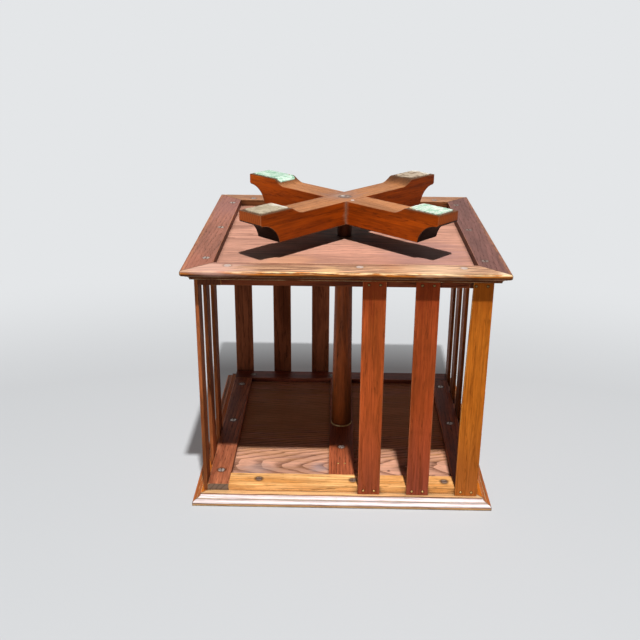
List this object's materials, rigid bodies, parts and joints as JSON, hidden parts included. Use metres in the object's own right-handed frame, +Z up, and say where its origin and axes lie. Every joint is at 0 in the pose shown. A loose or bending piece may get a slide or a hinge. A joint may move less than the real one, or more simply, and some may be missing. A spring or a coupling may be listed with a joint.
{
  "type": "revolving desktop bookcase",
  "caption": "Small square oak bookcase with slatted sides that turns on a central post over a cross-shaped foot with felt pads.",
  "frame": {"origin": "on the table top under the felt pads, at the centre of the post", "axes": "+Z up as the bookcase stands in use, along the post it turns on; -Y is the face that the picture shows; +X to the right of that face"},
  "size_m": [0.362, 0.362, 0.35],
  "materials": {
    "oak_base": "stained oak, waxed, satin",
    "oak_frame": "stained oak, worn varnish",
    "oak_panel": "stained quarter-sawn oak, satin",
    "oak_batten": "stained oak, satin",
    "oak_slat": "stained quarter-sawn oak, satin",
    "turned_post": "turned, stained dark, satin",
    "pale_washer": "pale unstained hardwood, plain",
    "felt": "worn wool felt, matte",
    "brass_pin": "tarnished, satin",
    "steel_screw": "dull, tarnished"
  },
  "bodies": {
    "base": {"base_arm_over": "oak_base", "base_arm_under": "oak_base", "felt_pad_1": "felt", "felt_pad_2": "felt", "felt_pad_3": "felt", "felt_pad_4": "felt", "center_post": "turned_post", "thrust_washer": "pale_washer"},
    "case": {"lower_rail_front": "oak_frame", "lower_rail_right": "oak_frame", "lower_rail_back": "oak_frame", "lower_rail_left": "oak_frame", "lower_panel": "oak_panel", "lower_batten_front": "oak_batten", "lower_batten_right": "oak_batten", "lower_batten_back": "oak_batten", "lower_batten_left": "oak_batten", "top_rail_front": "oak_frame", "top_rail_right": "oak_frame", "top_rail_back": "oak_frame", "top_rail_left": "oak_frame", "top_panel": "oak_panel", "top_batten_front": "oak_batten", "top_batten_right": "oak_batten", "top_batten_back": "oak_batten", "top_batten_left": "oak_batten", "top_cleat": "oak_batten", "slat_front_1": "oak_slat", "slat_front_2": "oak_slat", "slat_front_3": "oak_slat", "slat_right_1": "oak_slat", "slat_right_2": "oak_slat", "slat_right_3": "oak_slat", "slat_back_1": "oak_slat", "slat_back_2": "oak_slat", "slat_back_3": "oak_slat", "slat_left_1": "oak_slat", "slat_left_2": "oak_slat", "slat_left_3": "oak_slat", "slat_pins_front": "brass_pin", "slat_pins_right": "brass_pin", "slat_pins_back": "brass_pin", "slat_pins_left": "brass_pin", "lower_frame_screws": "steel_screw", "top_batten_screws": "steel_screw", "cleat_screws": "steel_screw", "cleat_pins": "brass_pin"}
  },
  "joints": [
    {"name": "case_revolve", "type": "hinge", "parent": "base", "child": "case", "pos_m": [0, 0, 0.059], "axis": [0, 0, 1], "continuous": true}
  ]
}
